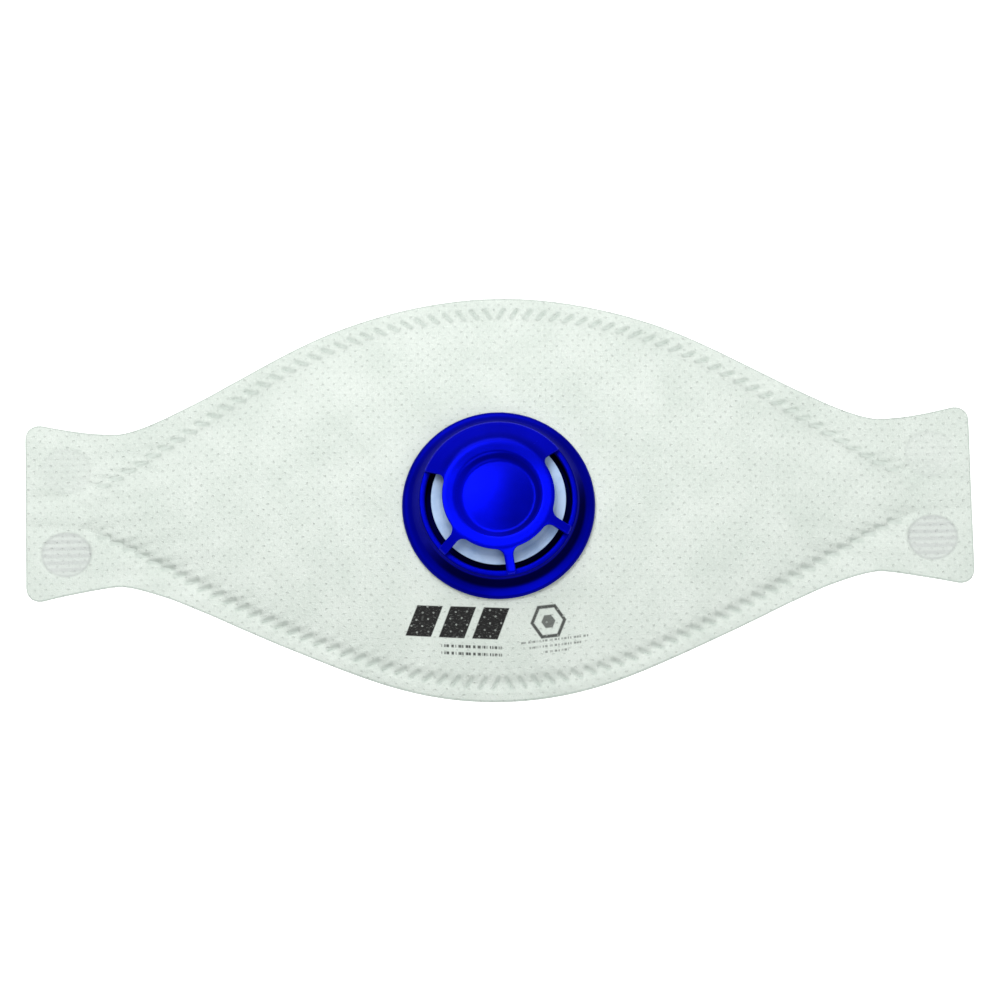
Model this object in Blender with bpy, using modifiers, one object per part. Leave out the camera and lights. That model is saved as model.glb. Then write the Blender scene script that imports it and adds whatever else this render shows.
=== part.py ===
"""A fold-flat dust mask with a round exhalation valve, lying folded on its back.

Frame: metres. +Z points out of the mask's front, +X runs along its length and +Y toward the nose.
The origin is on the surface that it lies on, in the middle of the mask.
The front is the centre panel with the valve. The upper and lower panels are folded behind it,
and the two head straps lie across the back from ear to ear.
"""

import math

import bmesh
import bpy
from mathutils import Matrix, Vector

MM = 0.001
GAP = 0.3 * MM  # clearance between pieces that touch

# Outline of the folded mask, as half heights over the half length.
HALF_LENGTH = 104.4 * MM
EAR_LENGTH = 20.4 * MM
APEX_HALF = 46.0 * MM
NECK_HALF = 17.4 * MM
EAR_HALF = 20.9 * MM
EAR_CORNER = 4.0 * MM
CROWN_POWER = 1.55
EAR_POWER = 1.5
NECK_X = HALF_LENGTH - EAR_LENGTH

# Line of the curved weld seams.
SEAM_MARGIN = 4.8 * MM  # from the outline at the middle
SEAM_PAST_NECK = 10.0 * MM
SEAM_END_HALF = 4.4 * MM
SEAM_POWER = 1.5
LAYER_INSET = 2.5 * MM  # the inner layers stop this far inside the seam
LAYER_SHORT = 8.0 * MM  # and this far short of the neck
SEAM_APEX = APEX_HALF - SEAM_MARGIN
SEAM_END_X = NECK_X + SEAM_PAST_NECK
LAYER_X = NECK_X - LAYER_SHORT

# Layers of cloth, with their thickness.
COVER_T = 0.5 * MM
FILTER_T = 0.6 * MM
STIFFENER_T = 0.4 * MM
LINING_T = 0.3 * MM
PANEL_COVER_T = 0.4 * MM
PANEL_FILTER_T = 0.5 * MM
MARGIN_GAP = 0.35 * MM  # between the front and the folded panels along the outline
COLUMN_STEP = 5.8 * MM  # mean size of the cloth's faces along X
ROW_STEP = 5.2 * MM  # and along Y, where the front bulges

# Head straps, nose clip and nose foam. From the mask's middle outward they lie side by side:
# the slit between the panels, the clip, and the strap.
FREE_EDGE_Y = 1.2 * MM  # half the slit between the two folded panels
CLIP_MARGIN = 0.7 * MM  # from the free edge to the clip
CLIP_LENGTH = 90.0 * MM
CLIP_W = 3.6 * MM
CLIP_T = 0.6 * MM
STRAP_CLEAR = 0.5 * MM  # from the clip to the strap
STRAP_W = 7.0 * MM
STRAP_T = 0.8 * MM
STRAP_SHORT = 3.4 * MM  # from the strap's end to the ear's end
FOAM_LENGTH = 92.0 * MM
FOAM_W = 10.0 * MM
FOAM_T = 2.0 * MM
CLIP_Y = FREE_EDGE_Y + CLIP_MARGIN
STRAP_Y = CLIP_Y + CLIP_W + STRAP_CLEAR + STRAP_W / 2
STRAP_HALF = HALF_LENGTH - STRAP_SHORT

# Exhalation valve, from its bore outward. Heights are above the flange's underside.
VALVE_Y = -3.6 * MM
VALVE_TWIST = math.radians(8.3)
SEAT_INNER_R = 12.6 * MM
SEAT_W = 1.4 * MM
FLAP_OVERLAP = 0.8 * MM  # the flap past its seat
CHANNEL_W = 1.3 * MM  # from the flap to the rim
RIM_T = 1.3 * MM
WALL_FLARE = 1.6 * MM
FLANGE_W = 2.2 * MM
FLANGE_T = 1.2 * MM
RIM_TOP = 5.7 * MM
SEAT_TOP = 4.9 * MM
SPOKE_W = 1.6 * MM
SPOKE_H = 2.0 * MM
PEG_R = 0.55 * MM
PEG_X = 5.5 * MM
PEG_H = 1.5 * MM
FLAP_T = 0.4 * MM
CAP_T = 1.0 * MM
CAP_INSET = 2.1 * MM  # the cap's disc is this much smaller than the flap
CAP_H = 4.0 * MM  # above the rim
SHOULDER_DROP = 2.3 * MM  # from the cap's top to its shoulder
DISH_MARGIN = 3.9 * MM
DISH_DEPTH = 1.8 * MM
LEG_W = 2.1 * MM
LEG_FILLET = 2.0 * MM
LEG_STEP = math.radians(55)
BRIDGE_HALF = math.radians(60)
BACK_RING_T = 1.2 * MM
BACK_RING_W = 4.7 * MM
TURN_STEPS = 48

SEAT_R = SEAT_INNER_R + SEAT_W
FLAP_R = SEAT_R + FLAP_OVERLAP
RIM_INNER_R = FLAP_R + CHANNEL_W
RIM_R = RIM_INNER_R + RIM_T
WALL_FOOT_R = RIM_R + WALL_FLARE
FLANGE_R = WALL_FOOT_R + FLANGE_W
CAP_EDGE_R = FLAP_R - CAP_INSET
DISH_R = CAP_EDGE_R - DISH_MARGIN
CAP_TOP = RIM_TOP + CAP_H
CAP_SHOULDER_Z = CAP_TOP - SHOULDER_DROP
FLAP_BOTTOM = SEAT_TOP + GAP
PEG_Y = math.sqrt(((SEAT_R + SEAT_INNER_R) / 2) ** 2 - PEG_X**2)
HOLE_R = SEAT_R + GAP
BACK_RING_R = HOLE_R + BACK_RING_W

# Levels of the stack, from the surface up. The centre panel bulges to clear what lies in the pouch.
POUCH_CLEAR = 0.7 * MM  # between the nose foam and the valve's back ring
DOME_PAST_NECK = 12.0 * MM
DOME_FLAT = 0.7  # share of the dome that is flat
PANEL_COVER_Z = STRAP_T + GAP
PANEL_FILTER_Z = PANEL_COVER_Z + PANEL_COVER_T + GAP
PANEL_LINING_Z = PANEL_FILTER_Z + PANEL_FILTER_T + GAP
FOAM_Z = PANEL_LINING_Z + LINING_T + GAP
FILTER_DROP = (COVER_T + FILTER_T) / 2 + GAP
STIFFENER_DROP = FILTER_DROP + (FILTER_T + STIFFENER_T) / 2 + GAP
LINING_DROP = STIFFENER_DROP + (STIFFENER_T + LINING_T) / 2 + GAP
RING_Z = FOAM_Z + FOAM_T + POUCH_CLEAR
FLAT_Z = RING_Z + BACK_RING_T + GAP + LINING_T / 2 + LINING_DROP
VALVE_Z = FLAT_Z + COVER_T / 2 + GAP
SPIGOT_Z = RING_Z - VALVE_Z
EAR_Z = STRAP_T + GAP + COVER_T / 2
EDGE_Z = PANEL_COVER_Z + PANEL_COVER_T + MARGIN_GAP + COVER_T / 2
CREASE_Z = EDGE_Z - (COVER_T + MARGIN_GAP) / 2
DOME_HALF_X = NECK_X + DOME_PAST_NECK

CLOTH = ((0.93, 0.94, 0.93), 0.9, 0.0)
WADDING = ((0.90, 0.91, 0.92), 0.95, 0.0)
LINING = ((0.95, 0.95, 0.94), 0.9, 0.0)
ELASTIC = ((0.90, 0.91, 0.90), 0.8, 0.0)
ALUMINIUM = ((0.75, 0.76, 0.78), 0.35, 1.0)
FOAM = ((0.55, 0.57, 0.60), 0.95, 0.0)
BLUE = ((0.01, 0.02, 0.62), 0.35, 0.0)
SILICONE = ((0.62, 0.70, 0.78), 0.4, 0.0)
NYLON = ((0.85, 0.86, 0.87), 0.5, 0.0)


# Outline and dome


def crown(x, top, side, reach, power):
    """Half height of a curve that falls from top at the middle to side at reach."""
    return side + (top - side) * max(0.0, 1 - (x / reach) ** 2) ** power


def outline(x):
    """Half height of the mask at x, with the ears' rounded corners."""
    x = abs(x)
    if x <= NECK_X:
        return crown(x, APEX_HALF, NECK_HALF, NECK_X, CROWN_POWER)
    ear = NECK_HALF + (EAR_HALF - NECK_HALF) * ((x - NECK_X) / (HALF_LENGTH - NECK_X)) ** EAR_POWER
    into = max(0.0, x - (HALF_LENGTH - EAR_CORNER))
    return ear - EAR_CORNER + math.sqrt(max(0.0, EAR_CORNER**2 - into**2))


def seam(x):
    """Half height of the weld seam at x."""
    return crown(abs(x), SEAM_APEX, SEAM_END_HALF, SEAM_END_X, SEAM_POWER)


def layer_edge(x):
    """Half height of the inner layers at x."""
    return seam(x) - LAYER_INSET


def dome(x, y):
    """Height of the middle of the centre panel's front cover at (x, y)."""
    past_neck = min(1.0, max(0.0, (abs(x) - NECK_X) / (DOME_HALF_X - NECK_X)))
    edge = EDGE_Z + (EAR_Z - EDGE_Z) * past_neck
    inside = max(0.0, 1 - (x / DOME_HALF_X) ** 2) * max(0.0, 1 - (y / outline(x)) ** 2)
    short = max(0.0, DOME_FLAT - inside) / DOME_FLAT
    return edge + (FLAT_Z - EDGE_Z) * (1 - short**2)


# Helpers


def collection(name):
    made = bpy.data.collections.new(name)
    bpy.context.scene.collection.children.link(made)
    return made


def material(name, look):
    """A Principled material from (colour, roughness, metallic)."""
    colour, roughness, metallic = look
    made = bpy.data.materials.new(name)
    made.use_nodes = True
    shader = made.node_tree.nodes["Principled BSDF"]
    shader.inputs["Base Color"].default_value = (*colour, 1)
    shader.inputs["Roughness"].default_value = roughness
    shader.inputs["Metallic"].default_value = metallic
    made.diffuse_color = (*colour, 1)
    return made


def add(name, mesh, look, parent=None):
    """A named part with its own material, under its joint's empty if it moves."""
    part = bpy.data.objects.new(name, mesh)
    PARTS.objects.link(part)
    mesh.materials.clear()
    mesh.materials.append(material(name, look))
    if parent:
        part.parent = parent
        part.matrix_parent_inverse = parent.matrix_world.inverted()
    return part


def hinge_line(name, place, turn=0.0):
    """An empty on a joint's axis, which the pieces that move with it hang from."""
    empty = bpy.data.objects.new(name, None)
    empty.empty_display_size = 0.01
    empty.matrix_world = Matrix.Translation(place) @ Matrix.Rotation(turn, 4, "Z")
    PARTS.objects.link(empty)
    return empty


def cutter(name, mesh, matrix=None):
    tool = bpy.data.objects.new(name, mesh)
    CUTTERS.objects.link(tool)
    tool.hide_render = True
    tool.display_type = "WIRE"
    if matrix:
        tool.matrix_world = matrix
    return tool


def boolean(part, tool, operation="DIFFERENCE"):
    step = part.modifiers.new(tool.name, "BOOLEAN")
    step.operation = operation
    step.object = tool


def sheet(name, reach, low, high, height, thickness, rows, look, parent=None):
    """A layer of cloth between two edges, low(x) and high(x), at height(x, y)."""
    mesh = bpy.data.meshes.new(name)
    form = bmesh.new()
    columns = 2 * math.ceil(reach / COLUMN_STEP)
    bmesh.ops.create_grid(form, x_segments=columns, y_segments=rows, size=1)
    for v in form.verts:
        x = reach * math.sin(v.co.x * math.pi / 2)
        share = (v.co.y + 1) / 2
        y = low(x) + (high(x) - low(x)) * share
        v.co = (x, y, height(x, y))
    form.to_mesh(mesh)
    form.free()
    part = add(name, mesh, look, parent)
    solid = part.modifiers.new("thickness", "SOLIDIFY")
    solid.thickness = thickness
    solid.offset = 0
    solid.use_even_offset = True
    return part


def cylinder(radius, low, high, steps=TURN_STEPS):
    mesh = bpy.data.meshes.new("cylinder")
    form = bmesh.new()
    bmesh.ops.create_cone(
        form, cap_ends=True, segments=steps, radius1=radius, radius2=radius, depth=high - low
    )
    bmesh.ops.translate(form, verts=form.verts, vec=(0, 0, (low + high) / 2))
    form.to_mesh(mesh)
    form.free()
    return mesh


def box(low, high):
    """A block between two corners."""
    low, high = Vector(low), Vector(high)
    mesh = bpy.data.meshes.new("box")
    form = bmesh.new()
    bmesh.ops.create_cube(form, size=1)
    bmesh.ops.scale(form, verts=form.verts, vec=high - low)
    bmesh.ops.translate(form, verts=form.verts, vec=(low + high) / 2)
    form.to_mesh(mesh)
    form.free()
    return mesh


def turned(profile, closed):
    """A profile of (radius, height) points for a Screw modifier to turn about Z."""
    mesh = bpy.data.meshes.new("profile")
    edges = [(i, i + 1) for i in range(len(profile) - 1)]
    if closed:
        edges.append((len(profile) - 1, 0))
    mesh.from_pydata([(r, 0, z) for r, z in profile], edges, [])
    return mesh


def screw(part):
    turn = part.modifiers.new("turn", "SCREW")
    turn.steps = turn.render_steps = TURN_STEPS
    turn.use_merge_vertices = True
    turn.merge_threshold = 0.00001
    turn.use_smooth_shade = False


def plate(points, low, high):
    """A flat outline as a filled 2D curve, extruded between two heights."""
    curve = bpy.data.curves.new("outline", "CURVE")
    curve.dimensions = "2D"
    curve.fill_mode = "BOTH"
    curve.extrude = (high - low) / 2
    curve.render_resolution_u = 0
    line = curve.splines.new("POLY")
    line.points.add(len(points) - 1)
    for point, (x, y) in zip(line.points, points):
        point.co = (x, y, 0, 1)
    line.use_cyclic_u = True
    holder = bpy.data.objects.new("outline", curve)
    bpy.context.scene.collection.objects.link(holder)
    seen = holder.evaluated_get(bpy.context.evaluated_depsgraph_get())
    mesh = bpy.data.meshes.new_from_object(seen)
    bpy.data.objects.remove(holder)
    bpy.data.curves.remove(curve)
    form = bmesh.new()
    form.from_mesh(mesh)
    bmesh.ops.remove_doubles(form, verts=form.verts, dist=0.00001)
    bmesh.ops.translate(form, verts=form.verts, vec=(0, 0, (low + high) / 2))
    bmesh.ops.recalc_face_normals(form, faces=form.faces)
    form.to_mesh(mesh)
    form.free()
    return mesh


def polar(radius, angle, centre=(0, 0)):
    return (centre[0] + radius * math.cos(angle), centre[1] + radius * math.sin(angle))


# Cloth


def centre_panel():
    """The front: cover, filter, stiffener and lining, with the valve's hole through them."""
    place = Matrix.Translation((0, VALVE_Y, 0))
    hole = cutter("valve_hole", cylinder(HOLE_R, 0, VALVE_Z + FLANGE_T), place)
    layers = (
        ("center_outer_cover", HALF_LENGTH, outline, 0.0, COVER_T, CLOTH),
        ("center_filter", LAYER_X, layer_edge, FILTER_DROP, FILTER_T, WADDING),
        ("center_stiffener", LAYER_X, layer_edge, STIFFENER_DROP, STIFFENER_T, WADDING),
        ("center_inner_cover", LAYER_X, layer_edge, LINING_DROP, LINING_T, LINING),
    )
    for name, length, edge, drop, thickness, look in layers:
        rows = 2 * math.ceil(edge(0) / ROW_STEP)
        part = sheet(
            name,
            length,
            lambda x: -edge(x),
            edge,
            lambda x, y: dome(x, y) - drop,
            thickness,
            rows,
            look,
        )
        boolean(part, hole)


def folded_panel(side, name):
    """The upper (side 1) or lower (side -1) panel, folded flat behind the centre panel."""
    crease = hinge_line(f"{name}_fold", (0, side * APEX_HALF, CREASE_Z))
    layers = (
        ("outer_cover", NECK_X, outline, PANEL_COVER_Z, PANEL_COVER_T, CLOTH),
        ("filter", LAYER_X, layer_edge, PANEL_FILTER_Z, PANEL_FILTER_T, WADDING),
        ("inner_cover", LAYER_X, layer_edge, PANEL_LINING_Z, LINING_T, LINING),
    )
    for layer, length, edge, bottom, thickness, look in layers:
        ends = (lambda x: FREE_EDGE_Y, edge)
        if side < 0:
            ends = (lambda x: -edge(x), lambda x: -FREE_EDGE_Y)
        level = bottom + thickness / 2
        sheet(
            f"{name}_{layer}",
            length,
            ends[0],
            ends[1],
            lambda x, y: level,
            thickness,
            2,
            look,
            crease,
        )
    return crease


def nose_pieces(crease):
    """The bendable nose clip behind the upper panel's free edge, and the foam inside it."""
    clip_top = PANEL_COVER_Z - GAP
    clip = box(
        (-CLIP_LENGTH / 2, CLIP_Y, clip_top - CLIP_T),
        (CLIP_LENGTH / 2, CLIP_Y + CLIP_W, clip_top),
    )
    add("nose_clip", clip, ALUMINIUM, crease)
    foam = box(
        (-FOAM_LENGTH / 2, CLIP_Y, FOAM_Z),
        (FOAM_LENGTH / 2, CLIP_Y + FOAM_W, FOAM_Z + FOAM_T),
    )
    add("nose_foam", foam, FOAM, crease)


def head_strap(side, name):
    """A flat elastic across the back, welded to both ears."""
    pull = hinge_line(f"{name}_pull", (0, side * STRAP_Y, STRAP_T / 2))
    low = (-STRAP_HALF, side * STRAP_Y - STRAP_W / 2, 0)
    high = (STRAP_HALF, side * STRAP_Y + STRAP_W / 2, STRAP_T)
    add(name, box(low, high), ELASTIC, pull)


# Valve


def valve_base(frame):
    """The flange with its conical wall and rim, and the flap's seat on a spigot with spokes."""
    profile = (
        (SEAT_R, SPIGOT_Z),
        (SEAT_INNER_R, SPIGOT_Z),
        (SEAT_INNER_R, SEAT_TOP),
        (SEAT_R, SEAT_TOP),
        (SEAT_R, FLANGE_T),
        (RIM_INNER_R, FLANGE_T),
        (RIM_INNER_R, RIM_TOP),
        (RIM_R, RIM_TOP),
        (RIM_R, RIM_TOP - 0.7 * MM),
        (WALL_FOOT_R, FLANGE_T + 0.5 * MM),
        (FLANGE_R - 0.5 * MM, FLANGE_T),
        (FLANGE_R, FLANGE_T - 0.5 * MM),
        (FLANGE_R, 0),
        (SEAT_R, 0),
    )
    base = add("valve_base", turned(profile, True), BLUE)
    base.matrix_world = frame
    screw(base)
    reach = (SEAT_R + SEAT_INNER_R) / 2
    spoke = box((-reach, -SPOKE_W / 2, SEAT_TOP - SPOKE_H), (reach, SPOKE_W / 2, SEAT_TOP - GAP))
    for i in range(2):
        turn = Matrix.Rotation(math.pi / 4 + i * math.pi / 2, 4, "Z")
        boolean(base, cutter(f"valve_spoke_{i}", spoke, frame @ turn), "UNION")
    for i, x in enumerate((-PEG_X, PEG_X)):
        peg = cylinder(PEG_R, SEAT_TOP - SPOKE_H, SEAT_TOP + PEG_H, 12)
        tool = cutter(f"valve_peg_{i}", peg, frame @ Matrix.Translation((x, PEG_Y, 0)))
        boolean(base, tool, "UNION")


def slot_outline(start, start_half, end, end_half):
    """The opening between two legs: straight beside each leg, round beside the disc."""
    far = RIM_R + CAP_T
    points = []
    for angle, half, side in ((start, start_half, 1), (end, end_half, -1)):
        swing = math.asin((half + LEG_FILLET) / (CAP_EDGE_R + LEG_FILLET))
        centre = polar(CAP_EDGE_R + LEG_FILLET, angle + side * swing)
        beside = angle - side * math.pi / 2
        inward = angle + side * swing + math.pi
        turn = (inward - beside + math.pi) % (2 * math.pi) - math.pi
        corner = [polar(LEG_FILLET, beside + turn * i / 5, centre) for i in range(6)]
        out = polar(half, angle + side * math.pi / 2, polar(far, angle))
        points.append([out, *corner])
    first, second = points
    gap_start = math.atan2(first[-1][1], first[-1][0])
    gap_end = math.atan2(second[-1][1], second[-1][0])
    span = (gap_end - gap_start) % (2 * math.pi)
    disc = [polar(CAP_EDGE_R, gap_start + span * i / 6) for i in range(1, 6)]
    middle = (start + end) / 2
    beyond = [polar(far * 1.3, middle)]
    return first + disc + second[::-1] + beyond


def valve_cover(frame):
    """The cap: a dished disc on three legs and a solid bridge, over the flap."""
    foot = RIM_TOP + GAP
    outside = (
        (0, CAP_TOP - DISH_DEPTH),
        (DISH_R - 1.8 * MM, CAP_TOP - DISH_DEPTH),
        (DISH_R - 0.6 * MM, CAP_TOP - DISH_DEPTH * 0.6),
        (DISH_R + 0.4 * MM, CAP_TOP - 0.2 * MM),
        (DISH_R + 1.4 * MM, CAP_TOP),
        (CAP_EDGE_R - 0.8 * MM, CAP_TOP),
        (CAP_EDGE_R + 0.6 * MM, CAP_TOP - 0.4 * MM),
        (RIM_R - 0.8 * MM, CAP_SHOULDER_Z),
        (RIM_R - 0.2 * MM, CAP_SHOULDER_Z - 0.6 * MM),
        (RIM_R, foot),
    )
    inside = (
        (RIM_R - CAP_T, foot),
        (RIM_R - CAP_T - 0.4 * MM, CAP_SHOULDER_Z - 0.9 * MM),
        (CAP_EDGE_R - 0.1 * MM, CAP_TOP - CAP_T - 0.3 * MM),
        (CAP_EDGE_R - 1.2 * MM, CAP_TOP - CAP_T),
        (DISH_R + 1.9 * MM, CAP_TOP - CAP_T),
        (DISH_R - 0.4 * MM, CAP_TOP - DISH_DEPTH - CAP_T),
        (0, CAP_TOP - DISH_DEPTH - CAP_T),
    )
    cover = add("valve_cover", turned(outside + inside, False), BLUE)
    cover.matrix_world = frame
    screw(cover)
    down = -math.pi / 2
    sides = (
        (down - math.pi + BRIDGE_HALF, 0.0),
        (down - LEG_STEP, LEG_W / 2),
        (down, LEG_W / 2),
        (down + LEG_STEP, LEG_W / 2),
        (down + math.pi - BRIDGE_HALF, 0.0),
    )
    for i in range(4):
        outline_points = slot_outline(*sides[i], *sides[i + 1])
        slot = plate(outline_points, RIM_TOP - CAP_T, CAP_TOP + CAP_T)
        boolean(cover, cutter(f"valve_slot_{i}", slot, frame))


def valve_diaphragm(frame):
    """The thin flap on its seat, held by two pegs under the bridge."""
    hinge = frame @ Vector((0, PEG_Y, FLAP_BOTTOM + FLAP_T / 2))
    line = hinge_line("diaphragm_hinge", hinge, VALVE_TWIST)
    flap = add("valve_diaphragm", cylinder(FLAP_R, 0, FLAP_T, 40), SILICONE)
    flap.matrix_world = frame @ Matrix.Translation((0, 0, FLAP_BOTTOM))
    for i, x in enumerate((-PEG_X, PEG_X)):
        hole = cylinder(PEG_R + GAP, -FLAP_T, 2 * FLAP_T, 12)
        place = flap.matrix_world @ Matrix.Translation((x, PEG_Y, 0))
        boolean(flap, cutter(f"flap_hole_{i}", hole, place))
    world = flap.matrix_world.copy()
    flap.parent = line
    flap.matrix_parent_inverse = line.matrix_world.inverted()
    flap.matrix_basis = world


def valve_back_ring(frame):
    """The ring inside the mask that clamps the layers on the spigot."""
    top = SPIGOT_Z + BACK_RING_T
    profile = (
        (HOLE_R, top),
        (HOLE_R, SPIGOT_Z),
        (BACK_RING_R, SPIGOT_Z),
        (BACK_RING_R, top),
    )
    ring = add("valve_back_ring", turned(profile[::-1], True), NYLON)
    ring.matrix_world = frame
    screw(ring)


for old in list(bpy.data.objects):
    bpy.data.objects.remove(old, do_unlink=True)
PARTS = collection("dust_mask")
CUTTERS = collection("cutters")

centre_panel()
upper_crease = folded_panel(1, "upper_panel")
folded_panel(-1, "lower_panel")
nose_pieces(upper_crease)
head_strap(1, "upper_head_strap")
head_strap(-1, "lower_head_strap")

valve_frame = Matrix.Translation((0, VALVE_Y, VALVE_Z)) @ Matrix.Rotation(VALVE_TWIST, 4, "Z")
valve_base(valve_frame)
valve_back_ring(valve_frame)
valve_diaphragm(valve_frame)
valve_cover(valve_frame)
bpy.context.view_layer.update()
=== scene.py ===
"""The looks of a fold-flat dust mask with a round exhalation valve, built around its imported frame.

Units are metres unless a name ends in _MM. +Z points out of the mask's front and +Y to the nose.
"""

import math

import bmesh
import bpy
import numpy as np
from mathutils import Matrix, Vector
from mathutils.geometry import delaunay_2d_cdt


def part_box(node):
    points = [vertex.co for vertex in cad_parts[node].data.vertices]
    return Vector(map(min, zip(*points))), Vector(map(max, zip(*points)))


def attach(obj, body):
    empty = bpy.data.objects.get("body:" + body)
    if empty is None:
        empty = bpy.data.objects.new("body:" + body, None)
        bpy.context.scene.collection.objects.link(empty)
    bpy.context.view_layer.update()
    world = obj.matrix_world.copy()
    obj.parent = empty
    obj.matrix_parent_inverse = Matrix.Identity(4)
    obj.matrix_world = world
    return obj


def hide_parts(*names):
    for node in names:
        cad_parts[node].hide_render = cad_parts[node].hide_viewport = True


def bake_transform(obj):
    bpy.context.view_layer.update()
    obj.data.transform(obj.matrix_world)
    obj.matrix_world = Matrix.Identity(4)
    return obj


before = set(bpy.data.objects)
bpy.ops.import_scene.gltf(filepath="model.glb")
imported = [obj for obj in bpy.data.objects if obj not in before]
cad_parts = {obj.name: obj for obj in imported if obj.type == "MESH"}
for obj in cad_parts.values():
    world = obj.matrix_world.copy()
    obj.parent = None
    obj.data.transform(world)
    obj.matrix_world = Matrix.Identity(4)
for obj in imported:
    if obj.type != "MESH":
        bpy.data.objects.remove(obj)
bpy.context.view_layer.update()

MM = 0.001

# Places and sizes read from the frame.
PANEL_LOW, PANEL_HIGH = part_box("upper_panel_outer_cover")
BASE_LOW, BASE_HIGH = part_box("valve_base")
RING_LOW, RING_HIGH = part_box("valve_back_ring")
FLAP_LOW, FLAP_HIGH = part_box("valve_diaphragm")
STRAP_LOW, STRAP_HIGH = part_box("upper_head_strap")
HALF_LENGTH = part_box("center_outer_cover")[1][0]
APEX_HALF = PANEL_HIGH[1]
NECK_X = PANEL_HIGH[0]
FREE_EDGE = PANEL_LOW[1]
VALVE_X = (RING_LOW[0] + RING_HIGH[0]) / 2
VALVE_Y = (RING_LOW[1] + RING_HIGH[1]) / 2
FLANGE_R = (BASE_HIGH[0] - BASE_LOW[0]) / 2
FLAP_R = (FLAP_HIGH[0] - FLAP_LOW[0]) / 2
CAP_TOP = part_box("valve_cover")[1][2]
PANEL_STACK_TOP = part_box("upper_panel_inner_cover")[1][2]
RIM_TOP = BASE_HIGH[2] - 0.7 * MM
RING_R = (RING_HIGH[0] - RING_LOW[0]) / 2

# The mask's outline and its curved weld seam.
NECK_HALF = 17.4 * MM
EAR_HALF = 20.9 * MM
EAR_CORNER = 4.0 * MM
CROWN_POWER = 1.55
EAR_POWER = 1.5
SEAM_APEX = APEX_HALF - 3.8 * MM
SEAM_END_X = NECK_X + 10 * MM
SEAM_END_HALF = 3.6 * MM
SEAM_POWER = 1.42
LAYER_INSET = 5.5 * MM  # the inner layers stop this far inside the seam
LAYER_REACH = NECK_X - 12 * MM

# How the cloth lies.
COVER_T = 0.5 * MM
MARGIN_Z = 2.35 * MM  # face of the welded margin
EAR_Z = 1.95 * MM  # face of the ears
FLAT_Z = BASE_LOW[2] + 4.2 * MM  # face of the cloth under the valve
SEAM_RISE = 1.7 * MM  # the seam's middle stands this much over the mask's edge
FILL_POWER = 1.1
WELD_PITCH = 3.2 * MM
MIDDLE_PITCH = 2.88 * MM  # the welds are closer together at the middle of the mask
WELD_LENGTH = 3.3 * MM
WELD_WIDTH = 1.0 * MM
WELD_DEPTH = 0.42 * MM
LIP_HEIGHT = 0.14 * MM  # cloth pushed up around a weld
GROOVE_DEPTH = 0.48 * MM  # the seam's groove, under its welds
WELD_HALF = 31  # welds along half a seam
SPOT_X = 95.5 * MM  # round welds that hold the elastic
SPOT_Y = (STRAP_LOW[1] + STRAP_HIGH[1]) / 2
SPOT_R = 5.5 * MM
SPOT_SQUASH = 1.08  # they are that much longer along X
SPOT_DEPTH = 0.3 * MM
RIB_PITCH = 1.6 * MM
RIB_HEIGHT = 0.08 * MM


def smooth(t):
    t = np.clip(t, 0, 1)
    return t * t * (3 - 2 * t)


def ramp(t, start_mm, width_mm):
    """0 up to a start and 1 past that width, with a smooth step between."""
    return smooth((t / MM - start_mm) / width_mm)


def hump(t, middle_mm, width_mm):
    """1 at the middle, fading softly to either side."""
    return np.exp(-(((t / MM - middle_mm) / width_mm) ** 2))


def crown(x, top, side, reach, power):
    """Half height of a curve that falls from top in the middle to side at reach."""
    return side + (top - side) * np.clip(1 - (x / reach) ** 2, 0, 1) ** power


def outline(x):
    """Half height of the mask at x, with the ears' rounded corners."""
    x = np.abs(x)
    along = np.clip((x - NECK_X) / (HALF_LENGTH - NECK_X), 0, 1)
    ear = NECK_HALF + (EAR_HALF - NECK_HALF) * along**EAR_POWER
    into = np.clip(x - (HALF_LENGTH - EAR_CORNER), 0, EAR_CORNER)
    rounded_ear = ear - EAR_CORNER + np.sqrt(EAR_CORNER**2 - into**2)
    body = crown(x, APEX_HALF, NECK_HALF, NECK_X, CROWN_POWER)
    return np.where(x <= NECK_X, body, rounded_ear)


def seam(x):
    """Half height of the weld seam's middle at x."""
    return crown(np.abs(x), SEAM_APEX, SEAM_END_HALF, SEAM_END_X, SEAM_POWER)


SEAM_X = np.linspace(0, SEAM_END_X, 500)
SEAM_Y = seam(SEAM_X)
SEAM_STEP = np.hypot(np.gradient(SEAM_X), np.gradient(SEAM_Y))
SEAM_TX = np.gradient(SEAM_X) / SEAM_STEP
SEAM_TY = np.gradient(SEAM_Y) / SEAM_STEP
SEAM_LENGTH = np.concatenate([[0], np.cumsum(np.hypot(np.diff(SEAM_X), np.diff(SEAM_Y)))])
SEAM_PITCH = WELD_PITCH - (WELD_PITCH - MIDDLE_PITCH) * np.exp(-SEAM_LENGTH / (18 * MM))
SEAM_COUNT = np.concatenate([[0], np.cumsum(np.diff(SEAM_LENGTH) / SEAM_PITCH[1:])])
SEAM_S = SEAM_COUNT * WELD_PITCH  # grows by WELD_PITCH from weld to weld


def seam_place(x, y):
    """Distance along the nearest seam from the mask's middle, and across it, positive inward."""
    shape = x.shape
    ax, ay = np.abs(x).ravel(), np.abs(y).ravel()
    nearest = np.empty(len(ax), int)
    for start in range(0, len(ax), 4000):
        part = slice(start, start + 4000)
        away = (ax[part, None] - SEAM_X) ** 2 + (ay[part, None] - SEAM_Y) ** 2
        nearest[part] = away.argmin(1)
    dx, dy = ax - SEAM_X[nearest], ay - SEAM_Y[nearest]
    tx, ty = SEAM_TX[nearest], SEAM_TY[nearest]
    along = SEAM_S[nearest] + dx * tx + dy * ty
    across = dx * ty - dy * tx
    return along.reshape(shape), across.reshape(shape)


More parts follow.
